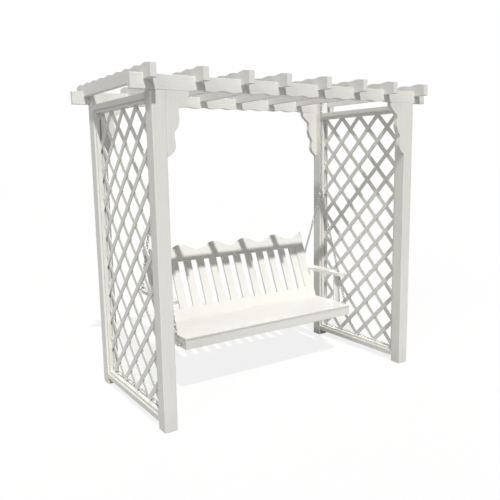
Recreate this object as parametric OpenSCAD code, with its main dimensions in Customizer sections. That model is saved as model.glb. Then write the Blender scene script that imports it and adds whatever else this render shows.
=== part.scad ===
// Garden arbor with a two-seat bench that swings on chains from its rafters.
// The origin is on the ground at the middle of the arbor: +X is right, -Y is the front, +Z is up.

/* [Arbor frame] */
// Side of the square posts
post_w = 89; // [76:1:115]
// Width between the outer faces of the posts
arbor_w = 2192; // [2160:1:2500]
// Depth between the outer faces of the posts
arbor_d = 1082; // [1040:1:1300]
// Height of the beams' lower edge above the ground
beam_z = 2080; // [2040:1:2300]
// Height of a beam
beam_h = 89; // [76:1:115]
// Thickness of the boards that make beams, rafters, brackets and screen boards
board_t = 38; // [32:1:42]
// How far the beams run past the posts at each end
beam_overhang = 124; // [90:1:200]
// Scallops along the lower edge of a beam
beam_scallops = 11; // [7:1:15]
// Depth of a beam's scallops
beam_scallop_depth = 9; // [4:1:14]

/* [Rafters] */
// Height of a rafter at the top of its scallops
rafter_h = 89; // [80:1:110]
// How deep the rafters are notched over the beams
rafter_notch = 36; // [20:1:45]
// How far the rafters run past the beams, front and back
rafter_overhang = 99; // [70:1:160]
// Scallops along the top of a rafter
rafter_scallops = 9; // [7:1:12]
// Depth of a rafter's scallops
rafter_scallop_depth = 8; // [4:1:12]
// Radius of the nose under a rafter's end
rafter_nose_r = 4; // [2:1:30]
// Gap between an end rafter and the outer face of the posts
rafter_post_gap = 6; // [2:1:15]
// Hand-set shifts of the four middle rafters from even spacing
rafter_shifts = [11, -21, -6, 6];

/* [Corner brackets] */
// Length of a bracket along the beam
bracket_w = 156; // [120:1:200]
// Drop of a bracket down the post
bracket_h = 384; // [300:1:460]

/* [Side screens] */
// Gap from the ground to the bottom board
screen_z = 48; // [30:1:120]
// Gap between the top board and the beams' lower edge
screen_top_gap = 6; // [2:1:30]
// Width of the cleats that hold the lattice, along its plane
cleat_w = 19; // [12:0.5:45]
// Thickness of the cleats, across the lattice's plane
cleat_t = 25; // [12:0.5:30]
// Width of a lattice strip
strip_w = 35; // [25:1:45]
// Thickness of a lattice strip
strip_t = 6.5; // [5:0.5:9]
// Spacing of the lattice crossings, up and across
lattice_pitch = 211.4; // [150:0.2:260]
// First crossing's distance behind the front post
lattice_start_y = 28; // [0:1:100]
// First crossing's distance below the top board
lattice_start_z = 20.5; // [0:0.5:100]
// How much lower the lattice of the left screen sits
lattice_left_drop = 10; // [0:1:60]

/* [Seat] */
// Height of the seat's top above the ground
seat_z = 466; // [430:1:500]
// Thickness of the seat panel
seat_t = 12; // [10:1:25]
// Width of the seat panel
seat_w = 1530; // [1500:1:1600]
// Front edge of the seat panel
seat_front_y = -212; // [-260:1:-190]
// Radius of the seat panel's front corners
seat_corner_r = 14; // [6:1:30]
// How far the seat panel stands out over the front apron
nosing = 4; // [2:1:20]
// Gap between the seat panel and the back
seat_rear_gap = 3; // [0:0.5:8]
// How far the seat panel stands out over the side rails
end_nosing = 3; // [0:1:10]
// Thickness of the thin boards of the bench
thin_t = 19; // [16:1:22]
// Height of the front apron
apron_h = 70; // [50:1:80]
// Height of the side rails, rear apron and cross braces
rail_h = 70; // [54:1:80]
// Thickness of the side rails
rail_t = 38; // [32:1:45]
// Number of cross braces under the seat
braces = 3; // [2:1:5]

/* [Back] */
// Where the back's front face meets the seat's top
back_y = 217; // [190:1:250]
// How far the back leans from upright, in degrees
recline = 22.4; // [12:0.2:28]
// Width of the back
back_w = 1524; // [1480:1:1560]
// Thickness of the back's frame
back_t = 38; // [32:1:42]
// Width of a stile
stile_w = 89; // [70:1:110]
// Height of the lower rail above the seat's top, along the lean
lower_rail_h = 89; // [64:1:110]
// Distance from the seat's top to the crest rail, along the lean
crest_v = 458.6; // [400:0.2:520]
// Height of the crest rail in its valleys
crest_low_h = 88; // [70:1:110]
// Rise of the crest rail's waves
crest_wave_h = 49; // [20:1:60]
// Waves along the crest rail
crest_waves = 5; // [3:2:7]
// Number of slats
slats = 12; // [8:1:14]
// Width of a slat
slat_w = 63.5; // [50:0.5:70]
// Thickness of a slat
slat_t = 19; // [12:1:24]
// Depth of the rebates that hold the slats' ends
slat_rebate = 12; // [8:1:20]

/* [Arms] */
// Height of the arms' top
arm_z = 717; // [690:1:750]
// Thickness of an arm
arm_t = 25; // [19:1:32]
// Width of an arm
arm_w = 89; // [76:1:110]
// How far an arm stands out past the end of the back at its middle
arm_offset = 27; // [24:1:36]
// Middle of the hole that the front chain runs through
arm_hole_y = -46; // [-70:1:-40]
// Diameter of that hole
arm_hole_d = 34; // [31:1:40]
// How far the middle of the arms' round front end lies before that hole
arm_reach = 22; // [0:1:50]
// Rear end of the arms
arm_rear_y = 472; // [465:1:500]
// Radius of the arms' rear corners
arm_corner_r = 14; // [6:1:25]
// Width of a front arm support
support_w = 64; // [50:1:68]
// Front face of the front arm supports
support_y = -28; // [-28:1:60]
// Length of the gusset under an arm's rear end
gusset_len = 84; // [60:1:90]
// Drop of that gusset
gusset_drop = 120; // [90:1:150]

/* [Chains] */
// Diameter of the chain wire
wire_d = 5.5; // [4.5:0.1:6]
// Wanted length of one link's step
link_pitch = 24; // [22:0.5:30]
// Radius of a link's ends, at the middle of the wire
link_r = 7.6; // [7:0.1:8.5]
// Clearance between wires that hang in each other
wire_gap = 0.3; // [0.2:0.05:0.5]
// How far behind the arbor's middle the swing hangs
hang_y = 185.5; // [160:0.5:210]
// Height of the rings above the seat's top
ring_rise = 918; // [850:1:980]
// Radius of a ring, at the middle of its wire
ring_r = 22; // [20:1:28]
// Diameter of a ring's wire
ring_wire_d = 7; // [6:0.5:8]
// Diameter of the eye bolts' wire
eye_wire_d = 6; // [5:0.5:7]
// Radius of the hanger eyes, at the middle of the wire
hanger_r = 14; // [13:1:18]
// Radius of the bench's eyes, at the middle of the wire
bench_eye_r = 12; // [11:1:15]
// Diameter of the eye bolts' shanks
shank_d = 8; // [6:0.5:9]
// Length of a hanger's shank in its rafter
hanger_grip = 60; // [40:1:70]
// Diameter of the washers
washer_d = 24; // [20:1:28]
// Thickness of the washers
washer_t = 2.5; // [2:0.5:4]
// How far the rear legs' eyes stand before the arms' rear ends
rear_eye_inset = 34; // [28:1:60]
// Clearance around a shank in its hole
shank_gap = 0.3; // [0.2:0.1:0.6]

/* [Hidden] */
PAINT = "#E9E8E3";
STEEL = "#C6C8C8";
LEFT = -1;
RIGHT = 1;
FRONT = -1;
REAR = 1;
// Points on each wave and each rounded outline
WAVE_STEPS = 12;
ROUND = 48;
WIRE_ROUND = 24;
// Length added to a cutter so that it runs past the face it cuts
CUT = 1;

// Arbor frame
post_x = (arbor_w - post_w) / 2;
post_y = (arbor_d - post_w) / 2;
inner_x = arbor_w / 2 - post_w;
inner_y = arbor_d / 2 - post_w;
beam_top = beam_z + beam_h;
beam_half = arbor_w / 2 + beam_overhang;
rafter_z = beam_top - rafter_notch;
rafter_half = arbor_d / 2 + rafter_overhang;
rafter_end_x = arbor_w / 2 + rafter_post_gap + board_t / 2;
rafter_step = 2 * rafter_end_x / 7;

// Side screens
screen_top = beam_z - screen_top_gap;
panel_low = screen_z + board_t;
panel_high = screen_top - board_t;

// Seat
seat_under = seat_z - seat_t;
rail_out_x = seat_w / 2 - end_nosing;
rail_low = seat_under - rail_h;
apron_front_y = seat_front_y + nosing;
apron_back_y = apron_front_y + thin_t;

// Back
slat_gap = (back_w - 2 * stile_w - slats * slat_w) / (slats - 1);
lean = tan(recline);
function back_plane_y(z) = back_y + (z - seat_z) * lean;
rear_apron_y = back_plane_y(rail_low) - thin_t;
back_low_v = (rail_low - seat_z) / cos(recline);

// Arms and chains
hang_x = back_w / 2 + arm_offset;
arm_under = arm_z - arm_t;
ring_c = [hang_y, seat_z + ring_rise];
link_hold = wire_d + wire_gap;
ring_hold = (wire_d + ring_wire_d) / 2 + wire_gap;
eye_hold = (wire_d + eye_wire_d) / 2 + wire_gap;
eye_neck = eye_wire_d / 2 + washer_t;
hanger_z = rafter_z - hanger_r - eye_neck;
seat_eye_z = rail_low + rail_h * 0.45;
rear_eye_z = arm_z + bench_eye_r + eye_neck;
rear_eye_y = arm_rear_y - rear_eye_inset;

// Points are [y, z] pairs in the plane of a chain
function towards(a, b) = (b - a) / norm(b - a);
front_dir = towards(ring_c, [arm_hole_y, arm_z - arm_t / 2]);
seat_eye_c = ring_c + front_dir * (ring_c[1] - seat_eye_z) / -front_dir[1];
rear_eye_top = [rear_eye_y, rear_eye_z + bench_eye_r];
rear_dir = towards(ring_c, rear_eye_top);

// Ends of each chain: the middles of its first and last wires
upper_from = [hang_y, hanger_z - hanger_r + eye_hold];
upper_to = [hang_y, ring_c[1] + ring_r - ring_hold];
front_from = ring_c + front_dir * (ring_r - ring_hold);
front_to = seat_eye_c - front_dir * (bench_eye_r - eye_hold);
rear_from = ring_c + rear_dir * (ring_r - ring_hold);
rear_to = rear_eye_top + rear_dir * eye_hold;

// Whole number of links between two points, even or odd so that the last link faces its eye
function link_count(a, b, odd) =
    2 * round(((norm(b - a) - link_hold) / link_pitch - odd) / 2) + odd;

// Points of a wave with its low points at both ends
function wave(from, to, waves, low, depth) = [
    for (i = [0 : waves * WAVE_STEPS])
    let (t = i / (waves * WAVE_STEPS))
    [from + (to - from) * t, low + depth * (1 - cos(360 * waves * t)) / 2]
];

// Points of a smooth curve through the given points
function at(p, i) = p[max(0, min(len(p) - 1, i))];
function smooth_step(a, b, c, d, t) =
    b + (c - a) * t / 2
    + (2 * a - 5 * b + 4 * c - d) * t * t / 2
    + (3 * b - a - 3 * c + d) * t * t * t / 2;
function smooth(p, steps) = concat(
    [for (i = [0 : len(p) - 2], s = [0 : steps - 1])
        smooth_step(at(p, i - 1), at(p, i), at(p, i + 1), at(p, i + 2), s / steps)],
    [p[len(p) - 1]]
);

// Points of an arc
function arc(c, r, from, to, steps = 8) = [
    for (i = [0 : steps]) let (a = from + (to - from) * i / steps) c + r * [cos(a), sin(a)]
];

// Shared shapes

// A flat outline drawn in X and Z, with its front face at y and thickness t towards the rear
module facing_front(y, t) {
    translate([0, y + t, 0])
        rotate([90, 0, 0])
            linear_extrude(t)
                children();
}

// A flat outline drawn in Y and Z, from x towards +X by t
module facing_side(x, t) {
    translate([x, 0, 0])
        rotate([90, 0, 90])
            linear_extrude(t)
                children();
}

// A block from its low corner to its high corner
module block(low, high) {
    translate(low)
        cube(high - low);
}

// The back's own frame: Z runs up the lean from the seat's top, Y runs into the back
module on_back() {
    translate([0, back_y, seat_z])
        rotate([-recline, 0, 0])
            children();
}

// A part of the right side, or its mirror image on the left
module on_side(side) {
    if (side == LEFT)
        mirror([1, 0, 0])
            children();
    else
        children();
}

// A part of the front, or its mirror image at the rear
module on_end(end) {
    if (end == REAR)
        mirror([0, 1, 0])
            children();
    else
        children();
}

// Arbor frame

module post(side, end) {
    color(PAINT)
        on_side(side) on_end(end)
            difference() {
                translate([post_x - post_w / 2, -post_y - post_w / 2, 0])
                    cube([post_w, post_w, beam_top]);
                translate([post_x - post_w / 2 - CUT, -arbor_d / 2 - CUT, beam_z])
                    cube([post_w + 2 * CUT, board_t + CUT, beam_h + CUT]);
            }
}

// The scalloped stretch lies between the brackets
module beam(end) {
    scallop_x = inner_x - bracket_w;
    color(PAINT)
        on_end(end)
            facing_front(-arbor_d / 2, board_t)
                polygon(concat(
                    [[beam_half, beam_top], [-beam_half, beam_top], [-beam_half, beam_z]],
                    wave(-scallop_x, scallop_x, beam_scallops, beam_z, beam_scallop_depth),
                    [[beam_half, beam_z]]
                ));
}

// Middle of each rafter: the second and the seventh stand over the chains
function rafter_x(i) =
    i == 2 ? -hang_x :
    i == 7 ? hang_x :
    -rafter_end_x + (i - 1) * rafter_step + (i > 2 && i < 7 ? rafter_shifts[i - 3] : 0);

module rafter_outline() {
    nose = rafter_nose_r;
    difference() {
        polygon(concat(
            wave(-rafter_half, rafter_half, rafter_scallops,
                rafter_z + rafter_h - rafter_scallop_depth, rafter_scallop_depth),
            arc([rafter_half - nose, rafter_z + nose], nose, 0, -90),
            arc([nose - rafter_half, rafter_z + nose], nose, -90, -180)
        ));
        for (end = [FRONT, REAR])
            translate([end * (arbor_d - board_t) / 2, rafter_z + (rafter_notch - CUT) / 2])
                square([board_t, rafter_notch + CUT], center = true);
    }
}

module rafter(i) {
    color(PAINT)
        difference() {
            facing_side(rafter_x(i) - board_t / 2, board_t)
                rafter_outline();
            if (i == 2 || i == 7)
                translate([rafter_x(i), hang_y, rafter_z - CUT])
                    cylinder(d = shank_d + 2 * shank_gap, h = hanger_grip + CUT + shank_gap, $fn = ROUND);
        }
}

// Corner bracket: two lobes below a cusp that runs out under the beam
module bracket(side, end) {
    edge = [
        [1, 0], [0.965, 0.09], [0.75, 0.172], [0.555, 0.24], [0.525, 0.315], [0.56, 0.43],
        [0.475, 0.54], [0.325, 0.63], [0.335, 0.72], [0.365, 0.81], [0.31, 0.895], [0.14, 0.965], [0, 1]
    ];
    color(PAINT)
        on_side(side) on_end(end)
            facing_front(-arbor_d / 2, board_t)
                translate([inner_x, beam_z])
                    polygon(concat(
                        [[0, 0]],
                        smooth([for (p = edge) [-p[0] * bracket_w, -p[1] * bracket_h]], 5)
                    ));
}

// Side screens

module screen_board(side, z) {
    color(PAINT)
        on_side(side)
            block([post_x - post_w / 2, -inner_y, z], [post_x + post_w / 2, inner_y, z + board_t]);
}

module top_board(side) {
    screen_board(side, screen_top - board_t);
}

module bottom_board(side) {
    screen_board(side, screen_z);
}

module cleat_frame(side, x_low, x_high) {
    long = panel_high - panel_low;
    color(PAINT)
        on_side(side)
            translate([x_low, 0, 0]) {
                for (z = [panel_low, panel_high - cleat_w])
                    translate([0, -inner_y, z])
                        cube([x_high - x_low, 2 * inner_y, cleat_w]);
                for (y = [-inner_y, inner_y - cleat_w])
                    translate([0, y, panel_low + cleat_w])
                        cube([x_high - x_low, cleat_w, long - 2 * cleat_w]);
            }
}

module cleats_outer(side) {
    cleat_frame(side, post_x + strip_t, post_x + strip_t + cleat_t);
}

module cleats_inner(side) {
    cleat_frame(side, post_x - strip_t - cleat_t, post_x - strip_t);
}

function lattice_drop(side) = side == LEFT ? lattice_left_drop : 0;

// One layer of parallel strips. A rise of 1 climbs towards the rear, and -1 towards the front
module lattice_strips(rise, drop) {
    panel_h = panel_high - panel_low;
    start = [lattice_start_y - inner_y, panel_high - lattice_start_z - drop];
    reach = ceil((panel_h + 2 * inner_y) / lattice_pitch);
    strip_len = 2 * (panel_h + inner_y);
    intersection() {
        translate([-inner_y, panel_low])
            square([2 * inner_y, panel_h]);
        for (i = [-reach : reach])
            translate(start + [0, i * lattice_pitch])
                rotate(45 * rise)
                    square([strip_len, strip_w], center = true);
    }
}

// The layer on the arbor's left of each screen climbs towards the front
module lattice_forward(side) {
    color(PAINT)
        facing_side(side * post_x - strip_t, strip_t)
            lattice_strips(-1, lattice_drop(side));
}

module lattice_backward(side) {
    color(PAINT)
        facing_side(side * post_x, strip_t)
            lattice_strips(1, lattice_drop(side));
}

// Hardware

// A ring of round wire in the XZ plane
module wire_ring(r, d) {
    rotate([90, 0, 0])
        rotate_extrude($fn = ROUND)
            translate([r, 0])
                circle(d = d, $fn = WIRE_ROUND);
}

// Eye bolt with its eye around the origin in the XZ plane and its shank pointing down
module eye_bolt(r, neck, grip, nut = true) {
    seat = -r - neck;
    nut_t = shank_d * 0.8;
    wire_ring(r, eye_wire_d);
    translate([0, 0, seat])
        cylinder(d = shank_d, h = neck, $fn = ROUND);
    translate([0, 0, seat])
        cylinder(d = washer_d, h = washer_t, $fn = ROUND);
    translate([0, 0, seat - grip])
        cylinder(d = shank_d, h = grip, $fn = ROUND);
    if (nut) {
        translate([0, 0, seat - grip - washer_t])
            cylinder(d = washer_d, h = washer_t, $fn = ROUND);
        translate([0, 0, seat - grip - washer_t - nut_t])
            cylinder(d = shank_d * 2, h = nut_t, $fn = 6);
    }
}

module hanger(side) {
    color(STEEL)
        translate([side * hang_x, hang_y, hanger_z])
            rotate([180, 0, 90])
                eye_bolt(hanger_r, eye_neck, hanger_grip, nut = false);
}

// One link: two straight wires and two round ends, centred, long along Z, in the XZ plane
module link(half) {
    straight = half - link_r;
    for (side = [LEFT, RIGHT])
        translate([side * link_r, 0, -straight])
            cylinder(d = wire_d, h = 2 * straight, $fn = WIRE_ROUND);
    for (turn = [0, 180])
        rotate([0, turn, 0])
            translate([0, 0, straight])
                rotate([90, 0, 0])
                    rotate_extrude(angle = 180, $fn = ROUND)
                        translate([link_r, 0])
                            circle(d = wire_d, $fn = WIRE_ROUND);
}

// A straight run of links between two points of the chain's plane
module chain(side, a, b, odd) {
    count = link_count(a, b, odd);
    step = (norm(b - a) - link_hold) / count;
    half = (step + link_hold) / 2;
    tilt = atan2(b[0] - a[0], a[1] - b[1]);
    color(STEEL)
        translate([side * hang_x, a[0], a[1]])
            rotate([tilt, 0, 0])
                for (i = [0 : count - 1])
                    translate([0, 0, -half - i * step])
                        rotate([0, 0, 90 * (i % 2)])
                            link(half);
}

module upper_chain(side) {
    chain(side, upper_from, upper_to, 1);
}

module front_chain(side) {
    chain(side, front_from, front_to, 0);
}

module rear_chain(side) {
    chain(side, rear_from, rear_to, 0);
}

module ring(side) {
    color(STEEL)
        translate([side * hang_x, ring_c[0], ring_c[1]])
            rotate([0, 0, 90])
                wire_ring(ring_r, ring_wire_d);
}

// Eyes that hold the front legs of the chains, through the side rails
module seat_eyes() {
    neck = hang_x - rail_out_x - bench_eye_r;
    color(STEEL)
        for (side = [LEFT, RIGHT])
            on_side(side)
                translate([hang_x, seat_eye_c[0], seat_eye_c[1]])
                    rotate([atan2(front_dir[0], -front_dir[1]), 0, 0])
                        rotate([0, 90, 0])
                            eye_bolt(bench_eye_r, neck, rail_t);
}

// Eyes that hold the rear legs of the chains, through the arms
module arm_eyes() {
    color(STEEL)
        for (side = [LEFT, RIGHT])
            translate([side * hang_x, rear_eye_y, rear_eye_z])
                eye_bolt(bench_eye_r, eye_neck, arm_t);
}

// Seat

module seat_panel() {
    rear = back_plane_y(seat_under) - seat_rear_gap;
    half = seat_w / 2;
    r = seat_corner_r;
    color(PAINT)
        difference() {
            translate([0, 0, seat_under])
                linear_extrude(seat_t)
                    polygon(concat(
                        arc([r - half, seat_front_y + r], r, 180, 270),
                        arc([half - r, seat_front_y + r], r, 270, 360),
                        [[half, rear], [-half, rear]]
                    ));
            for (side = [LEFT, RIGHT])
                on_side(side)
                    support_block();
        }
}

module front_apron() {
    color(PAINT)
        block([-rail_out_x, apron_front_y, seat_under - apron_h], [rail_out_x, apron_back_y, seat_under]);
}

module rear_apron() {
    x = rail_out_x - rail_t;
    color(PAINT)
        block([-x, rear_apron_y, rail_low], [x, rear_apron_y + thin_t, seat_under]);
}

module cross_braces() {
    clear = 2 * (rail_out_x - rail_t);
    color(PAINT)
        for (i = [1 : braces])
            translate([clear * (i / (braces + 1) - 0.5) - thin_t / 2, apron_back_y, rail_low])
                cube([thin_t, rear_apron_y - apron_back_y, rail_h]);
}

// The rail's rear end is cut to the back's lean
module side_rail(side) {
    color(PAINT)
        on_side(side)
            difference() {
                facing_side(rail_out_x - rail_t, rail_t)
                    polygon([
                        [apron_back_y, rail_low],
                        [back_plane_y(rail_low), rail_low],
                        [back_plane_y(seat_under), seat_under],
                        [apron_back_y, seat_under]
                    ]);
                translate([rail_out_x - rail_t - CUT, seat_eye_c[0], seat_eye_c[1]])
                    rotate([0, 90, 0])
                        cylinder(d = shank_d + 2 * shank_gap, h = rail_t + 2 * CUT, $fn = ROUND);
            }
}

// Back

// Rebates along the rear of both rails hold the ends of the slats
module slat_rebate_cut() {
    x = back_w / 2 - stile_w;
    block([-x, back_t - slat_t, lower_rail_h - slat_rebate],
        [x, back_t + CUT, crest_v + slat_rebate]);
}

module crest_rail() {
    half = back_w / 2;
    color(PAINT)
        on_back()
            difference() {
                facing_front(0, back_t)
                    polygon(concat(
                        [[-half, crest_v]],
                        [for (i = [0 : crest_waves * WAVE_STEPS])
                            let (t = i / (crest_waves * WAVE_STEPS))
                            [back_w * (t - 0.5),
                                crest_v + crest_low_h + crest_wave_h * (1 + cos(360 * crest_waves * t)) / 2]],
                        [[half, crest_v]]
                    ));
                slat_rebate_cut();
            }
}

module lower_rail() {
    x = back_w / 2 - stile_w;
    color(PAINT)
        on_back()
            difference() {
                block([-x, 0, -seat_t / cos(recline)], [x, back_t, lower_rail_h]);
                slat_rebate_cut();
            }
}

module stile(side) {
    color(PAINT)
        on_back() on_side(side)
            block([back_w / 2 - stile_w, 0, back_low_v], [back_w / 2, back_t, crest_v]);
}

module back_slats() {
    color(PAINT)
        on_back()
            for (i = [0 : slats - 1])
                translate([stile_w - back_w / 2 + i * (slat_w + slat_gap), back_t - slat_t,
                    lower_rail_h - slat_rebate])
                    cube([slat_w, slat_t, crest_v - lower_rail_h + 2 * slat_rebate]);
}

// Arms

module arm(side) {
    front = [hang_x, arm_hole_y - arm_reach];
    half = arm_w / 2;
    r = arm_corner_r;
    color(PAINT)
        on_side(side)
            difference() {
                translate([0, 0, arm_under])
                    linear_extrude(arm_t)
                        polygon(concat(
                            arc(front, half, 180, 360, 24),
                            arc([hang_x + half - r, arm_rear_y - r], r, 0, 90),
                            arc([hang_x - half + r, arm_rear_y - r], r, 90, 180)
                        ));
                translate([hang_x, arm_hole_y, arm_under - CUT])
                    cylinder(d = arm_hole_d, h = arm_t + 2 * CUT, $fn = ROUND);
                translate([hang_x, rear_eye_y, arm_under - CUT])
                    cylinder(d = shank_d + 2 * shank_gap, h = arm_t + 2 * CUT, $fn = ROUND);
                on_back()
                    block([0, 0, 0], [back_w / 2, back_t, crest_v]);
            }
}

// The board stands against the end of the seat, which is notched for it
module support_block() {
    block([rail_out_x, support_y, rail_low], [rail_out_x + support_w, support_y + thin_t, arm_under]);
}

module front_support(side) {
    color(PAINT)
        on_side(side)
            support_block();
}

// Gusset between an arm's underside and the rear face of its stile, with a hollow free edge
module rear_gusset(side) {
    rear_y = back_plane_y(arm_under) + back_t / cos(recline);
    tip = [rear_y + gusset_len, arm_under];
    foot = [rear_y - gusset_drop * lean, arm_under - gusset_drop];
    middle = (tip + foot) / 2 + [-gusset_len, gusset_drop] * 0.13;
    color(PAINT)
        on_side(side)
            facing_side(back_w / 2 - thin_t, thin_t)
                polygon(concat([[rear_y, arm_under]], smooth([tip, middle, foot], 8)));
}

post(LEFT, FRONT);  // post_front_left
post(RIGHT, FRONT);  // post_front_right
post(LEFT, REAR);  // post_rear_left
post(RIGHT, REAR);  // post_rear_right
beam(FRONT);  // beam_front
beam(REAR);  // beam_rear
rafter(1);  // rafter_1
rafter(2);  // rafter_2
rafter(3);  // rafter_3
rafter(4);  // rafter_4
rafter(5);  // rafter_5
rafter(6);  // rafter_6
rafter(7);  // rafter_7
rafter(8);  // rafter_8
bracket(LEFT, FRONT);  // bracket_front_left
bracket(RIGHT, FRONT);  // bracket_front_right
bracket(LEFT, REAR);  // bracket_rear_left
bracket(RIGHT, REAR);  // bracket_rear_right
top_board(LEFT);  // top_board_left
top_board(RIGHT);  // top_board_right
bottom_board(LEFT);  // bottom_board_left
bottom_board(RIGHT);  // bottom_board_right
cleats_outer(LEFT);  // cleats_outer_left
cleats_inner(LEFT);  // cleats_inner_left
cleats_outer(RIGHT);  // cleats_outer_right
cleats_inner(RIGHT);  // cleats_inner_right
lattice_forward(LEFT);  // lattice_forward_left
lattice_backward(LEFT);  // lattice_backward_left
lattice_forward(RIGHT);  // lattice_forward_right
lattice_backward(RIGHT);  // lattice_backward_right
hanger(LEFT);  // hanger_left
hanger(RIGHT);  // hanger_right
upper_chain(LEFT);  // upper_chain_left
upper_chain(RIGHT);  // upper_chain_right
ring(LEFT);  // ring_left
ring(RIGHT);  // ring_right
front_chain(LEFT);  // front_chain_left
front_chain(RIGHT);  // front_chain_right
rear_chain(LEFT);  // rear_chain_left
rear_chain(RIGHT);  // rear_chain_right
seat_panel();
front_apron();
rear_apron();
cross_braces();
side_rail(LEFT);  // side_rail_left
side_rail(RIGHT);  // side_rail_right
crest_rail();
lower_rail();
stile(LEFT);  // stile_left
stile(RIGHT);  // stile_right
back_slats();
arm(LEFT);  // arm_left
arm(RIGHT);  // arm_right
front_support(LEFT);  // front_support_left
front_support(RIGHT);  // front_support_right
rear_gusset(LEFT);  // rear_gusset_left
rear_gusset(RIGHT);  // rear_gusset_right
seat_eyes();
arm_eyes();
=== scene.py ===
"""Looks of the arbor swing: white paint, zinc, screws and nails, with floor, light and camera."""

import logging
import math
from collections.abc import Iterator
from dataclasses import dataclass, field
from enum import Enum

import bmesh
import bpy
from mathutils import Matrix, Vector


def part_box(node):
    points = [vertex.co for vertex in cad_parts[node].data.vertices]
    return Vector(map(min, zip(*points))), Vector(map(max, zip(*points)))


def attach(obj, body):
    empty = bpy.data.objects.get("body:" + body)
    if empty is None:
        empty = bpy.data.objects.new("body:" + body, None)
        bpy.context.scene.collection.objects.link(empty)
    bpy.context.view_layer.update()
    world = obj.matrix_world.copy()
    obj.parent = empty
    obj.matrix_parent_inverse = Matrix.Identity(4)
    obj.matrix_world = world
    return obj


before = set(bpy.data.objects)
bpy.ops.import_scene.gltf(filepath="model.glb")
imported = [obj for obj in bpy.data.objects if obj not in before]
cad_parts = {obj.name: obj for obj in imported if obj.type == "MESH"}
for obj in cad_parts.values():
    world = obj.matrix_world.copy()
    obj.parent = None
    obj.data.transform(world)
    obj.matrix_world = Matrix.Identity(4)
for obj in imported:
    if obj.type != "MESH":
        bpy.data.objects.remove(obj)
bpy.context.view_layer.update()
MM = 0.001
LEAN_DEG = 22.4
WELD_REACH = 0.00002
UP = Vector((0, 0, 1))
WHITE = (1.0, 1.0, 1.0, 1.0)
log = logging.getLogger("arbor_swing")

Colour = tuple[float, float, float]
Direction = tuple[float, float, float]
Span = tuple[float, float]
Spot = tuple[Vector, Vector]
Wire = bpy.types.NodeSocket | float | tuple[float, ...]


class Body(Enum):
    """The rigid bodies that pieces ride on."""

    ARBOR = "arbor"
    UPPER_CHAINS = "upper_chains"
    BENCH = "bench"


class Place(Enum):
    """A place that node names speak of."""

    @property
    def label(self) -> str:
        """The word for the place in a node's name."""
        return self.name.lower()


class End(Place):
    """Front and rear, valued by the sign of Y."""

    FRONT = -1
    REAR = 1


class Side(Place):
    """Left and right, valued by the sign of X."""

    LEFT = -1
    RIGHT = 1


class Layer(Place):
    """The two frames of cleats on a screen, valued by their way from its middle outwards."""

    OUTER = 1
    INNER = -1


class Edge(Enum):
    """How the edges of a board are eased, valued by the facets across an edge."""

    CHAMFERED = 1
    EASED = 2
    ROUNDED = 3


class Grain(Enum):
    """The direction in which a board's grain runs."""

    ACROSS = (1.0, 0.0, 0.0)
    DEEP = (0.0, 1.0, 0.0)
    UPRIGHT = (0.0, 0.0, 1.0)
    LEANING = (0.0, math.sin(math.radians(LEAN_DEG)), math.cos(math.radians(LEAN_DEG)))
    FORWARD_STRIP = (0.0, -math.sqrt(0.5), math.sqrt(0.5))
    BACKWARD_STRIP = (0.0, math.sqrt(0.5), math.sqrt(0.5))

    @property
    def turn(self) -> tuple[float, float, float]:
        """Rotation that brings the grain's direction to the X axis."""
        return tuple(Vector(self.value).rotation_difference(Vector((1, 0, 0))).to_euler("XYZ"))


@dataclass(frozen=True)
class Noise:
    """A Noise texture, given by its repeats per metre along each axis."""

    repeats: tuple[float, float, float]
    detail: float
    roughness: float


class Wiring:
    """Adds nodes to one node tree and links them."""

    def __init__(self, tree: bpy.types.NodeTree) -> None:
        """Keeps the tree that the nodes go into."""
        self.tree = tree

    def add(self, kind: str, wires: dict[str | int, Wire] | None = None,
            **settings: object) -> bpy.types.Node:
        """Adds one node.

        Args:
            kind: The node's type name.
            wires: Sockets to link, or values to set, by input name or number.
            settings: Properties of the node itself.

        Returns:
            The new node.
        """
        node = self.tree.nodes.new(kind)
        for name, value in settings.items():
            setattr(node, name, value)
        for key, value in (wires or {}).items():
            if isinstance(value, bpy.types.NodeSocket):
                self.tree.links.new(value, node.inputs[key])
            else:
                node.inputs[key].default_value = value
        return node

    def math(self, operation: str, first: Wire, second: Wire = 0.0) -> bpy.types.NodeSocket:
        """Adds a Math node and returns its result."""
        return self.add("ShaderNodeMath", {0: first, 1: second}, operation=operation).outputs[0]

    def noise(self, vector: Wire, noise: Noise) -> bpy.types.NodeSocket:
        """Adds a Noise texture.

        Args:
            vector: The coordinates it reads.
            noise: Its repeats, detail and roughness.

        Returns:
            The texture's value.
        """
        wires = {0: vector, 1: noise.repeats}
        scaled = self.add("ShaderNodeVectorMath", wires, operation="MULTIPLY").outputs[0]
        return self.add("ShaderNodeTexNoise", {
            "Vector": scaled, "Scale": 1.0, "Detail": noise.detail, "Roughness": noise.roughness,
        }).outputs[0]

    def spread(self, value: Wire, span: Span, onto: Span = (0.0, 1.0)) -> bpy.types.NodeSocket:
        """Maps one range of values onto another, clamped.

        Args:
            value: The value to map.
            span: The range it comes from.
            onto: The range it goes to.

        Returns:
            The mapped value.
        """
        wires = dict(zip(("From Min", "From Max", "To Min", "To Max"), (*span, *onto)))
        return self.add("ShaderNodeMapRange", {"Value": value, **wires}).outputs[0]

    def blend(self, amount: Wire, first: Wire, second: Wire) -> bpy.types.NodeSocket:
        """Mixes two colours by an amount and returns the result."""
        wires = {0: amount, 6: first, 7: second}
        return self.add("ShaderNodeMix", wires, data_type="RGBA").outputs[2]


def rgba(colour: Colour) -> tuple[float, float, float, float]:
    """Adds full opacity to a colour."""
    return (*colour, 1.0)


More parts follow.
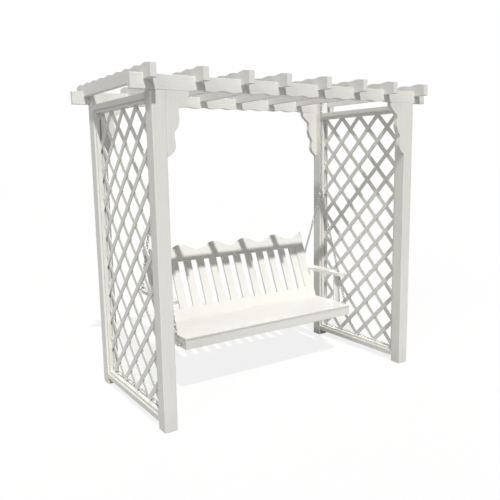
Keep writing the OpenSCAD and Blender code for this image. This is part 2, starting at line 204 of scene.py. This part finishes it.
def blank_material(name: str) -> tuple[bpy.types.Material, Wiring]:
    """Makes a material without nodes.

    Args:
        name: The material's name.

    Returns:
        The material, and the wiring of its tree.
    """
    material = bpy.data.materials.new(name)
    material.use_nodes = True
    material.node_tree.nodes.clear()
    return material, Wiring(material.node_tree)


def new_group(name: str, outputs: tuple[str, ...]) -> tuple[Wiring, bpy.types.NodeSocket]:
    """Makes a shader node group that reads a vector and puts out values.

    Args:
        name: The group's name.
        outputs: Names of its outputs.

    Returns:
        The wiring of the group's tree, and the vector inside it.
    """
    tree = bpy.data.node_groups.new(name, "ShaderNodeTree")
    tree.interface.new_socket("Vector", in_out="INPUT", socket_type="NodeSocketVector")
    for label in outputs:
        tree.interface.new_socket(label, in_out="OUTPUT", socket_type="NodeSocketFloat")
    return Wiring(tree), tree.nodes.new("NodeGroupInput").outputs["Vector"]


@dataclass(frozen=True)
class BoardGrain:
    """The grain of a board as it shows through paint, along the vector's X axis."""

    streaks: Noise = Noise((3.0, 90.0, 90.0), 5.0, 0.62)
    rings: Noise = Noise((0.9, 22.0, 22.0), 2.0, 0.5)
    tone: Noise = Noise((0.8, 4.5, 4.5), 2.0, 0.5)
    ring_turns: float = 34.0
    streak_height: float = 0.7
    ring_height: float = 0.12

    def group(self) -> bpy.types.NodeTree:
        """Builds the node group.

        Returns:
            A group that gives streaks, a broad tone and a height.
        """
        wiring, vector = new_group("board_grain", ("Streaks", "Tone", "Height"))
        streaks = wiring.noise(vector, self.streaks)
        turns = wiring.math("MULTIPLY", wiring.noise(vector, self.rings), self.ring_turns)
        height = wiring.math(
            "ADD",
            wiring.math("MULTIPLY", streaks, self.streak_height),
            wiring.math("MULTIPLY", wiring.math("SINE", turns), self.ring_height),
        )
        tone = wiring.noise(vector, self.tone)
        wiring.add("NodeGroupOutput", {"Streaks": streaks, "Tone": tone, "Height": height})
        return wiring.tree


@dataclass(frozen=True)
class BrushMarks:
    """Brush marks and orange peel in a coat of paint, with strokes along the vector's X axis."""

    strokes: Noise = Noise((9.0, 420.0, 420.0), 3.0, 0.55)
    peel: Noise = Noise((260.0, 260.0, 260.0), 2.0, 0.5)
    patches: Noise = Noise((6.0, 14.0, 14.0), 3.0, 0.6)
    peel_height: float = 0.35
    gloss_span: Span = (0.3, 0.7)

    def group(self) -> bpy.types.NodeTree:
        """Builds the node group.

        Returns:
            A group that gives a height and a gloss variation.
        """
        wiring, vector = new_group("brush_marks", ("Height", "Gloss"))
        peel = wiring.math("MULTIPLY", wiring.noise(vector, self.peel), self.peel_height)
        height = wiring.math("ADD", wiring.noise(vector, self.strokes), peel)
        gloss = wiring.spread(wiring.noise(vector, self.patches), self.gloss_span)
        wiring.add("NodeGroupOutput", {"Height": height, "Gloss": gloss})
        return wiring.tree


@dataclass(frozen=True)
class OutdoorGrime:
    """Splash near the ground and faint blotches higher up, on object coordinates."""

    mottle: Noise = Noise((16.0, 16.0, 16.0), 6.0, 0.65)
    cloud: Noise = Noise((5.0, 5.0, 3.0), 5.0, 0.6)
    splash_rise: Span = (0.0, 0.22)
    mottle_bite: float = 0.55
    splash_span: Span = (0.0, 0.6)
    blotch_span: Span = (0.52, 0.75)

    def group(self) -> bpy.types.NodeTree:
        """Builds the node group.

        Returns:
            A group that gives masks for splash and blotches.
        """
        wiring, vector = new_group("outdoor_grime", ("Splash", "Blotches"))
        rise = wiring.add("ShaderNodeSeparateXYZ", {0: vector}).outputs["Z"]
        reach = wiring.math(
            "SUBTRACT",
            wiring.spread(rise, self.splash_rise, (1.0, 0.0)),
            wiring.math("MULTIPLY", wiring.noise(vector, self.mottle), self.mottle_bite),
        )
        wiring.add("NodeGroupOutput", {
            "Splash": wiring.spread(reach, self.splash_span),
            "Blotches": wiring.spread(wiring.noise(vector, self.cloud), self.blotch_span),
        })
        return wiring.tree


@dataclass
class Groups:
    """The node groups that the paints share."""

    grain: bpy.types.NodeTree = field(default_factory=BoardGrain().group)
    brush: bpy.types.NodeTree = field(default_factory=BrushMarks().group)
    grime: bpy.types.NodeTree = field(default_factory=OutdoorGrime().group)


@dataclass(frozen=True)
class PaintFinish:
    """White exterior paint on softwood."""

    colour: Colour = (0.815, 0.808, 0.772)
    shadow_colour: Colour = (0.70, 0.685, 0.635)
    splash_colour: Colour = (0.42, 0.385, 0.31)
    streak_span: Span = (0.5, 0.78)
    streak_mark: float = 0.40
    tone_span: Span = (0.3, 0.7)
    tone_mark: float = 0.2
    blotch_mark: float = 0.14
    splash_mark: float = 0.14
    roughness: Span = (0.39, 0.54)
    specular: float = 0.42
    brush_height: float = 0.4
    relief: float = 0.0013
    relief_strength: float = 0.7

    def material(self, grain: Grain, groups: Groups) -> bpy.types.Material:
        """Makes the paint for boards whose grain runs one way.

        Args:
            grain: Direction of the grain.
            groups: The shared node groups.

        Returns:
            The material.
        """
        material, wiring = blank_material(f"white_paint_{grain.name.lower()}")
        place = wiring.add("ShaderNodeTexCoord").outputs["Object"]
        wires = {"Vector": place, "Rotation": grain.turn}
        along = wiring.add("ShaderNodeMapping", wires).outputs[0]
        wood = wiring.add("ShaderNodeGroup", {"Vector": along}, node_tree=groups.grain).outputs
        brush = wiring.add("ShaderNodeGroup", {"Vector": along}, node_tree=groups.brush).outputs
        grime = wiring.add("ShaderNodeGroup", {"Vector": place}, node_tree=groups.grime).outputs

        streak = wiring.spread(wood["Streaks"], self.streak_span, (0.0, self.streak_mark))
        tone = wiring.spread(wood["Tone"], self.tone_span, (0.0, self.tone_mark))
        blotch = wiring.math("MULTIPLY", grime["Blotches"], self.blotch_mark)
        marks = wiring.math("ADD", wiring.math("ADD", streak, tone), blotch)
        painted = wiring.blend(marks, rgba(self.colour), rgba(self.shadow_colour))
        splash = wiring.math("MULTIPLY", grime["Splash"], self.splash_mark)
        strokes = wiring.math("MULTIPLY", brush["Height"], self.brush_height)
        bump = wiring.add("ShaderNodeBump", {
            "Strength": self.relief_strength,
            "Distance": self.relief,
            "Height": wiring.math("ADD", wood["Height"], strokes),
        })
        shader = wiring.add("ShaderNodeBsdfPrincipled", {
            "Base Color": wiring.blend(splash, painted, rgba(self.splash_colour)),
            "Roughness": wiring.spread(brush["Gloss"], (0.0, 1.0), self.roughness),
            "Specular IOR Level": self.specular,
            "Normal": bump.outputs[0],
        })
        wiring.add("ShaderNodeOutputMaterial", {"Surface": shader.outputs[0]})
        return material


@dataclass(frozen=True)
class ZincFinish:
    """Zinc plating on wire, rings and eye bolts."""

    colour: Colour = (0.54, 0.545, 0.54)
    dull_colour: Colour = (0.30, 0.305, 0.30)
    patches: Noise = Noise((55.0, 55.0, 55.0), 5.0, 0.6)
    grit: Noise = Noise((900.0, 900.0, 900.0), 2.0, 0.5)
    dull_span: Span = (0.42, 0.7)
    rough_span: Span = (0.3, 0.75)
    roughness: Span = (0.28, 0.56)
    relief: float = 0.0001
    relief_strength: float = 0.3

    def material(self) -> bpy.types.Material:
        """Makes the plating, with dulled patches and a fine grit.

        Returns:
            The material.
        """
        material, wiring = blank_material("zinc_plating")
        place = wiring.add("ShaderNodeTexCoord").outputs["Object"]
        patches = wiring.noise(place, self.patches)
        dull = wiring.spread(patches, self.dull_span)
        bump = wiring.add("ShaderNodeBump", {
            "Strength": self.relief_strength,
            "Distance": self.relief,
            "Height": wiring.noise(place, self.grit),
        })
        shader = wiring.add("ShaderNodeBsdfPrincipled", {
            "Base Color": wiring.blend(dull, rgba(self.colour), rgba(self.dull_colour)),
            "Roughness": wiring.spread(patches, self.rough_span, self.roughness),
            "Metallic": 1.0,
            "Normal": bump.outputs[0],
        })
        wiring.add("ShaderNodeOutputMaterial", {"Surface": shader.outputs[0]})
        return material


class Finishes:
    """Every material of the object, built once."""

    def __init__(self) -> None:
        """Builds the paint for each grain direction, and the zinc."""
        groups = Groups()
        paint = PaintFinish()
        self.paint = {grain: paint.material(grain, groups) for grain in Grain}
        self.zinc = ZincFinish().material()


def round_shading_group(crease_deg: float = 35.0) -> bpy.types.NodeTree:
    """Builds the geometry group that joins a node's loose triangles and smooths its round faces.

    Args:
        crease_deg: Edges that turn by more than this stay sharp.

    Returns:
        The geometry node group.
    """
    tree = bpy.data.node_groups.new("round_shading", "GeometryNodeTree")
    for way in ("INPUT", "OUTPUT"):
        tree.interface.new_socket("Geometry", in_out=way, socket_type="NodeSocketGeometry")
    wiring = Wiring(tree)
    entry = tree.nodes.new("NodeGroupInput").outputs[0]
    wires = {"Geometry": entry, "Distance": WELD_REACH}
    joined = wiring.add("GeometryNodeMergeByDistance", wires).outputs[0]
    wires = {"Geometry": joined, "Shade Smooth": True}
    smooth = wiring.add("GeometryNodeSetShadeSmooth", wires).outputs[0]
    angle = wiring.add("GeometryNodeInputMeshEdgeAngle").outputs[0]
    wires = {0: angle, 1: math.radians(crease_deg)}
    creased = wiring.add("FunctionNodeCompare", wires, operation="GREATER_THAN").outputs[0]
    wires = {"Geometry": smooth, "Selection": creased, "Shade Smooth": False}
    sharp = wiring.add("GeometryNodeSetShadeSmooth", wires, domain="EDGE").outputs[0]
    wiring.add("NodeGroupOutput", {0: sharp})
    return tree


@dataclass
class Dresser:
    """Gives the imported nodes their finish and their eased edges."""

    finishes: Finishes
    flat_deg: float = 0.3
    corner_deg: float = 38.0
    round_shading: bpy.types.NodeTree = field(default_factory=round_shading_group)

    def timber(self, name: str, grain: Grain, ease: float, edge: Edge = Edge.EASED) -> None:
        """Paints a wooden node and eases its edges.

        Args:
            name: The node.
            grain: Direction of its grain.
            ease: Width of the eased edge, in metres.
            edge: How the edge is eased.
        """
        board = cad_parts[name]
        self._cover(board, self.finishes.paint[grain])
        board.modifiers.new("joined", "WELD").merge_threshold = WELD_REACH
        flat = board.modifiers.new("flat_faces", "DECIMATE")
        flat.decimate_type = "DISSOLVE"
        flat.angle_limit = math.radians(self.flat_deg)
        eased = board.modifiers.new("eased_edges", "BEVEL")
        eased.limit_method = "ANGLE"
        eased.angle_limit = math.radians(self.corner_deg)
        eased.width = ease
        eased.segments = edge.value
        eased.use_clamp_overlap = True
        log.info("%s: paint, grain %s", name, grain.name.lower())

    def metal(self, name: str) -> None:
        """Plates a metal node and smooths its round faces.

        Args:
            name: The node.
        """
        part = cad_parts[name]
        self._cover(part, self.finishes.zinc)
        part.modifiers.new("round_shading", "NODES").node_group = self.round_shading
        log.info("%s: zinc", name)

    @staticmethod
    def _cover(part: bpy.types.Object, material: bpy.types.Material) -> None:
        """Gives an object one material in place of those it has."""
        part.data.materials.clear()
        part.data.materials.append(material)


def add_object(name: str, data: bpy.types.ID) -> bpy.types.Object:
    """Puts a mesh, a camera or a lamp into the scene.

    Args:
        name: The object's name.
        data: What it shows.

    Returns:
        The new object.
    """
    thing = bpy.data.objects.new(name, data)
    bpy.context.scene.collection.objects.link(thing)
    return thing


def add_mesh(name: str, mesh: bmesh.types.BMesh, material: bpy.types.Material) -> bpy.types.Object:
    """Puts a finished bmesh into the scene and frees it.

    Args:
        name: The object's name.
        mesh: Its shape.
        material: Its finish.

    Returns:
        The new object.
    """
    data = bpy.data.meshes.new(name)
    mesh.to_mesh(data)
    mesh.free()
    data.materials.append(material)
    return add_object(name, data)


@dataclass(frozen=True)
class Fastener:
    """The head of a screw or a brad. A drive depth of zero leaves the head plain."""

    radius: float
    proud: float
    sides: int
    drive: float
    taper: float = 0.82
    rim: float = 0.45
    star: float = 0.72

    def add_to(self, mesh: bmesh.types.BMesh, place: Vector, out: Vector) -> None:
        """Sets one head into a mesh.

        Args:
            mesh: The mesh that holds all heads of a piece.
            place: Middle of the head, on the wood's face.
            out: Direction that the face points.
        """
        turn = UP.rotation_difference(out).to_matrix().to_4x4()
        made = bmesh.ops.create_cone(
            mesh, cap_ends=True, segments=self.sides, radius1=self.radius,
            radius2=self.radius * self.taper, depth=self.proud,
            matrix=Matrix.Translation(place + out * (self.proud / 2)) @ turn)
        if self.drive:
            faces = {face for vert in made["verts"] for face in vert.link_faces}
            cap = max(faces, key=lambda face: (face.calc_center_median() - place).dot(out))
            bmesh.ops.inset_region(mesh, faces=[cap], thickness=self.radius * self.rim)
            self._sink(mesh, cap, out)

    def _sink(self, mesh: bmesh.types.BMesh, cap: bmesh.types.BMFace, out: Vector) -> None:
        """Cuts the star drive into a head's cap.

        Args:
            mesh: The mesh that holds the head.
            cap: The inner face of the head.
            out: Direction that the head points.
        """
        middle = cap.calc_center_median()
        for number, vert in enumerate(cap.verts):
            if number % 2:
                vert.co = middle + (vert.co - middle) * self.star
        deep = bmesh.ops.extrude_discrete_faces(mesh, faces=[cap])["faces"]
        bmesh.ops.translate(mesh, verts=deep[0].verts, vec=-out * self.drive)


SCREW = Fastener(radius=4.4 * MM, proud=0.5 * MM, sides=12, drive=0.4 * MM)
BRAD = Fastener(radius=1.7 * MM, proud=0.3 * MM, sides=8, drive=0.0)


def set_fasteners(name: str, body: Body, kind: Fastener, spots: list[Spot],
                  material: bpy.types.Material) -> None:
    """Makes one piece out of a set of fastener heads.

    Args:
        name: The piece's name.
        body: The body it rides on.
        kind: The fastener.
        spots: Place and outward direction of each head.
        material: Its finish.
    """
    mesh = bmesh.new()
    for place, out in spots:
        kind.add_to(mesh, place, out)
    piece = add_mesh(name, mesh, material)
    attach(piece, body.value)
    log.info("%s: %d heads", name, len(spots))


def spaced(low: float, high: float, step: float) -> Iterator[float]:
    """Spaces values evenly over a range.

    Args:
        low: The first value.
        high: The last value.
        step: About how far apart they lie.

    Yields:
        Each value in turn.
    """
    count = max(1, round((high - low) / step))
    for number in range(count + 1):
        yield low + (high - low) * number / count


@dataclass
class Arbor:
    """Posts, beams, rafters and brackets.

    A bracket's screws are given by their way in from the post's outer side and down from the
    bracket's top.
    """

    dresser: Dresser
    post_ease: float = 4 * MM
    board_ease: float = 3 * MM
    rafters: int = 8
    beam_screw_inset: float = 22 * MM
    bracket_screws: tuple[Span, ...] = ((24 * MM, 300 * MM), (110 * MM, 28 * MM))

    @staticmethod
    def corners() -> Iterator[tuple[End, Side]]:
        """Yields the four corners."""
        return ((end, side) for end in End for side in Side)

    def dress(self) -> None:
        """Paints the frame's timbers."""
        for end, side in self.corners():
            corner = f"{end.label}_{side.label}"
            self.dresser.timber(f"post_{corner}", Grain.UPRIGHT, self.post_ease, Edge.ROUNDED)
            self.dresser.timber(f"bracket_{corner}", Grain.UPRIGHT, self.board_ease)
        for end in End:
            self.dresser.timber(f"beam_{end.label}", Grain.ACROSS, self.board_ease)
        for number in range(1, self.rafters + 1):
            self.dresser.timber(f"rafter_{number}", Grain.DEEP, self.board_ease)

    def screws(self) -> list[Spot]:
        """Finds the screws that hold beams and brackets.

        Returns:
            Place and outward direction of each screw.
        """
        spots = []
        for end, side in self.corners():
            beam_low, beam_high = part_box(f"beam_{end.label}")
            post_low, post_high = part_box(f"post_{end.label}_{side.label}")
            face_y = beam_low.y if end is End.FRONT else beam_high.y
            inset = self.beam_screw_inset
            places = [
                (x, z)
                for x in (post_low.x + inset, post_high.x - inset)
                for z in (beam_low.z + inset, beam_high.z - inset)
            ]
            low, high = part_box(f"bracket_{end.label}_{side.label}")
            outer_x = low.x if side is Side.LEFT else high.x
            places += [(outer_x - side.value * way_in, high.z - down)
                       for way_in, down in self.bracket_screws]
            spots += [(Vector((x, face_y, z)), Vector((0, end.value, 0))) for x, z in places]
        return spots

    def build(self) -> None:
        """Makes the frame's screws."""
        paint = self.dresser.finishes.paint[Grain.UPRIGHT]
        set_fasteners("frame_screws", Body.ARBOR, SCREW, self.screws(), paint)


@dataclass
class Screens:
    """The two lattice screens with their boards and cleats."""

    dresser: Dresser
    board_ease: float = 3 * MM
    cleat_ease: float = 2 * MM
    strip_ease: float = 1 * MM
    half_cleat: float = 9.5 * MM
    brad_step: float = 260 * MM
    upright_margin: float = 80 * MM
    level_margin: float = 90 * MM
    crossing: float = 211.4 * MM
    first_crossing_y: float = 28 * MM
    first_crossing_z: float = 20.5 * MM
    left_drop: float = 10 * MM
    crossing_margin: float = 45 * MM
    rows: int = 20
    columns: int = 10

    def dress(self) -> None:
        """Paints both screens."""
        strips = {"forward": Grain.FORWARD_STRIP, "backward": Grain.BACKWARD_STRIP}
        for side in Side:
            for level in ("top", "bottom"):
                self.dresser.timber(f"{level}_board_{side.label}", Grain.DEEP, self.board_ease)
            for layer in Layer:
                cleats = f"cleats_{layer.label}_{side.label}"
                self.dresser.timber(cleats, Grain.UPRIGHT, self.cleat_ease)
            for way, grain in strips.items():
                lattice = f"lattice_{way}_{side.label}"
                self.dresser.timber(lattice, grain, self.strip_ease, Edge.CHAMFERED)

    def cleat_brads(self) -> list[Spot]:
        """Finds the brads along the cleats.

        Returns:
            Place and outward direction of each brad.
        """
        spots = []
        for side in Side:
            for layer in Layer:
                low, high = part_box(f"cleats_{layer.label}_{side.label}")
                way = side.value * layer.value
                x = high.x if way > 0 else low.x
                rise = (low.z + self.upright_margin, high.z - self.upright_margin)
                run = (low.y + self.level_margin, high.y - self.level_margin)
                places = [(y, z) for y in (low.y + self.half_cleat, high.y - self.half_cleat)
                          for z in spaced(*rise, self.brad_step)]
                places += [(y, z) for z in (low.z + self.half_cleat, high.z - self.half_cleat)
                           for y in spaced(*run, self.brad_step)]
                spots += [(Vector((x, y, z)), Vector((way, 0, 0))) for y, z in places]
        return spots

    def crossing_brads(self) -> list[Spot]:
        """Finds the brads where the lattice strips cross, inside the cleats.

        Returns:
            Place and outward direction of each brad.
        """
        spots = []
        half = self.crossing / 2
        margin = self.crossing_margin
        for side in Side:
            low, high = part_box(f"lattice_forward_{side.label}")
            far_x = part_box(f"lattice_backward_{side.label}")[1].x
            drop = self.left_drop if side is Side.LEFT else 0.0
            for row in range(self.rows):
                z = high.z - self.first_crossing_z - drop - row * half
                for column in range(row % 2, self.columns, 2):
                    y = low.y + self.first_crossing_y + column * half
                    in_run = low.y + margin < y < high.y - margin
                    if in_run and low.z + margin < z < high.z - margin:
                        spots.append((Vector((low.x, y, z)), Vector((-1, 0, 0))))
                        spots.append((Vector((far_x, y, z)), Vector((1, 0, 0))))
        return spots

    def build(self) -> None:
        """Makes the brads of both screens."""
        paint = self.dresser.finishes.paint[Grain.UPRIGHT]
        set_fasteners("cleat_brads", Body.ARBOR, BRAD, self.cleat_brads(), paint)
        set_fasteners("lattice_brads", Body.ARBOR, BRAD, self.crossing_brads(), paint)


@dataclass
class Rigging:
    """Hangers, chains, rings and eye bolts."""

    dresser: Dresser
    paired: tuple[str, ...] = ("hanger", "upper_chain", "ring", "front_chain", "rear_chain")
    single: tuple[str, ...] = ("seat_eyes", "arm_eyes")

    def dress(self) -> None:
        """Plates all the hardware."""
        for name in self.paired:
            for side in Side:
                self.dresser.metal(f"{name}_{side.label}")
        for name in self.single:
            self.dresser.metal(name)


@dataclass
class Bench:
    """Seat, back and arms."""

    dresser: Dresser
    seat_ease: float = 2 * MM
    crest_ease: float = 4 * MM
    arm_ease: float = 6 * MM
    board_ease: float = 2.5 * MM
    gusset_ease: float = 1.5 * MM
    half_brace: float = 9.5 * MM
    seat_screw_step: float = 105 * MM
    seat_front_margin: float = 60 * MM
    seat_rear_margin: float = 45 * MM
    support_screw_inset: float = 16 * MM
    gusset_screw_inset: float = 30 * MM

    def dress(self) -> None:
        """Paints the bench."""
        timber = self.dresser.timber
        timber("seat_panel", Grain.ACROSS, self.seat_ease, Edge.ROUNDED)
        for name in ("front_apron", "rear_apron", "lower_rail"):
            timber(name, Grain.ACROSS, self.board_ease)
        timber("crest_rail", Grain.ACROSS, self.crest_ease, Edge.ROUNDED)
        timber("cross_braces", Grain.DEEP, self.board_ease)
        timber("back_slats", Grain.LEANING, self.board_ease)
        for side in Side:
            timber(f"side_rail_{side.label}", Grain.DEEP, self.board_ease)
            timber(f"stile_{side.label}", Grain.LEANING, self.board_ease)
            timber(f"arm_{side.label}", Grain.DEEP, self.arm_ease, Edge.ROUNDED)
            timber(f"front_support_{side.label}", Grain.UPRIGHT, self.board_ease)
            timber(f"rear_gusset_{side.label}", Grain.UPRIGHT, self.gusset_ease)

    def seat_screws(self) -> list[Spot]:
        """Finds the screws along the braces and the side rails.

        Returns:
            Place and outward direction of each screw.
        """
        low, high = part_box("seat_panel")
        rail_low, rail_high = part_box("side_rail_right")
        rail_x = (rail_low.x + rail_high.x) / 2
        brace_low, brace_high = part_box("cross_braces")
        brace_x = (abs(brace_low.x) + abs(brace_high.x)) / 2 - self.half_brace
        run = (low.y + self.seat_front_margin, high.y - self.seat_rear_margin)
        return [
            (Vector((x, y, high.z)), UP)
            for x in (-rail_x, -brace_x, 0.0, brace_x, rail_x)
            for y in spaced(*run, self.seat_screw_step)
        ]

    def arm_screws(self) -> list[Spot]:
        """Finds the screws that hold the arms on their supports and gussets.

        Returns:
            Place and outward direction of each screw.
        """
        spots = []
        inset = self.support_screw_inset
        for side in Side:
            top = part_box(f"arm_{side.label}")[1].z
            low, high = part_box(f"front_support_{side.label}")
            y = (low.y + high.y) / 2
            spots += [(Vector((x, y, top)), UP) for x in (low.x + inset, high.x - inset)]
            low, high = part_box(f"rear_gusset_{side.label}")
            x = (low.x + high.x) / 2
            spots.append((Vector((x, high.y - self.gusset_screw_inset, top)), UP))
        return spots

    def build(self) -> None:
        """Makes the bench's screws."""
        paint = self.dresser.finishes.paint[Grain.ACROSS]
        set_fasteners("seat_screws", Body.BENCH, SCREW, self.seat_screws(), paint)
        set_fasteners("arm_screws", Body.BENCH, SCREW, self.arm_screws(), paint)


@dataclass(frozen=True)
class Viewpoint:
    """The camera's place and turn, solved from the timbers' edges in the photograph."""

    place: tuple[float, float, float] = (-2.515, -3.657, 1.688)
    yaw_deg: float = -33.65
    pitch_deg: float = -9.05
    roll_deg: float = -0.95
    focal_px: float = 579.63
    width_px: float = 500.0
    sensor_mm: float = 36.0
    clip_end: float = 200.0

    def build(self) -> None:
        """Makes the scene's camera."""
        yaw, pitch, roll = (
            math.radians(angle) for angle in (self.yaw_deg, self.pitch_deg, self.roll_deg))
        level = Vector((math.cos(yaw), math.sin(yaw), 0.0))
        ahead = Vector((
            -math.sin(yaw) * math.cos(pitch), math.cos(yaw) * math.cos(pitch), math.sin(pitch)))
        above = level.cross(ahead)
        right = level * math.cos(roll) + above * math.sin(roll)
        up = above * math.cos(roll) - level * math.sin(roll)
        turn = Matrix((right, up, -ahead)).transposed().to_4x4()
        data = bpy.data.cameras.new("viewpoint")
        data.sensor_width = self.sensor_mm
        data.lens = self.focal_px / self.width_px * self.sensor_mm
        data.clip_end = self.clip_end
        camera = add_object("viewpoint", data)
        camera.matrix_world = Matrix.Translation(self.place) @ turn
        bpy.context.scene.camera = camera


@dataclass(frozen=True)
class Lamp:
    """A far lamp, by its direction, its strength and how wide it looks from the object."""

    name: str
    towards: Direction
    strength: float
    spread_deg: float
    colour: Colour = (1.0, 0.996, 0.98)

    def build(self) -> None:
        """Makes the lamp."""
        data = bpy.data.lights.new(self.name, "SUN")
        data.energy = self.strength
        data.angle = math.radians(self.spread_deg)
        data.color = self.colour
        lamp = add_object(self.name, data)
        lamp.rotation_mode = "QUATERNION"
        lamp.rotation_quaternion = Vector(self.towards).to_track_quat("Z", "Y")


@dataclass(frozen=True)
class Studio:
    """A pale floor, an even surround, a key lamp at the front and soft lamps beside and behind."""

    lamps: tuple[Lamp, ...] = (
        Lamp("key", towards=(-0.345, -1.0, 1.37), strength=2.82, spread_deg=1.0),
        Lamp("side", towards=(-1.0, -0.55, 0.75), strength=0.65, spread_deg=25.0),
        Lamp("rear", towards=(0.55, 1.0, 0.08), strength=1.9, spread_deg=40.0),
    )
    surround: float = 0.15
    floor_shown: float = 0.94
    floor_bounce: float = 0.38
    floor_glow: float = 0.82
    floor_half: float = 60.0
    floor_cells: int = 4

    def build(self) -> None:
        """Makes floor, surround and lamps."""
        self._floor()
        self._surround()
        for lamp in self.lamps:
            lamp.build()
        bpy.context.scene.view_settings.view_transform = "Standard"

    def _floor(self) -> None:
        """Makes the floor, white to the camera and duller to bounced light."""
        mesh = bmesh.new()
        cells = self.floor_cells
        bmesh.ops.create_grid(mesh, x_segments=cells, y_segments=cells, size=self.floor_half)
        material, wiring = blank_material("pale_floor")
        seen = self._seen(wiring)
        bounce = rgba((self.floor_bounce,) * 3)
        shown = rgba((self.floor_shown,) * 3)
        colour = wiring.blend(seen, bounce, shown)
        matt = wiring.add("ShaderNodeBsdfDiffuse", {"Color": colour}).outputs[0]
        glow = wiring.add("ShaderNodeEmission", {"Color": WHITE, "Strength": 1.0}).outputs[0]
        share = wiring.math("MULTIPLY", seen, self.floor_glow)
        mixed = wiring.add("ShaderNodeMixShader", {0: share, 1: matt, 2: glow}).outputs[0]
        wiring.add("ShaderNodeOutputMaterial", {"Surface": mixed})
        floor = add_mesh("floor", mesh, material)

    def _surround(self) -> None:
        """Makes the surround: white where it is seen, and an even light elsewhere."""
        world = bpy.data.worlds.new("surround")
        bpy.context.scene.world = world
        world.use_nodes = True
        world.node_tree.nodes.clear()
        wiring = Wiring(world.node_tree)
        strength = wiring.spread(self._seen(wiring), (0.0, 1.0), (self.surround, 1.0))
        sky = wiring.add("ShaderNodeBackground", {"Color": WHITE, "Strength": strength})
        wiring.add("ShaderNodeOutputWorld", {"Surface": sky.outputs[0]})

    @staticmethod
    def _seen(wiring: Wiring) -> bpy.types.NodeSocket:
        """Tells rays that show the surroundings, straight or in metal, from rays that light.

        Args:
            wiring: The tree that needs to know.

        Returns:
            One for rays that show the surroundings, and zero for the others.
        """
        path = wiring.add("ShaderNodeLightPath").outputs
        seen = wiring.math("MAXIMUM", path["Is Camera Ray"], path["Is Glossy Ray"])
        return wiring.math("MAXIMUM", seen, path["Is Transmission Ray"])


def main() -> None:
    """Builds the camera, the studio and the finished object."""
    logging.basicConfig(level=logging.INFO, format="%(name)s %(message)s")
    Viewpoint().build()
    Studio().build()
    dresser = Dresser(Finishes())
    for assembly in (Arbor(dresser), Screens(dresser), Bench(dresser)):
        assembly.dress()
        assembly.build()
    Rigging(dresser).dress()


if __name__ == "__main__":
    main()
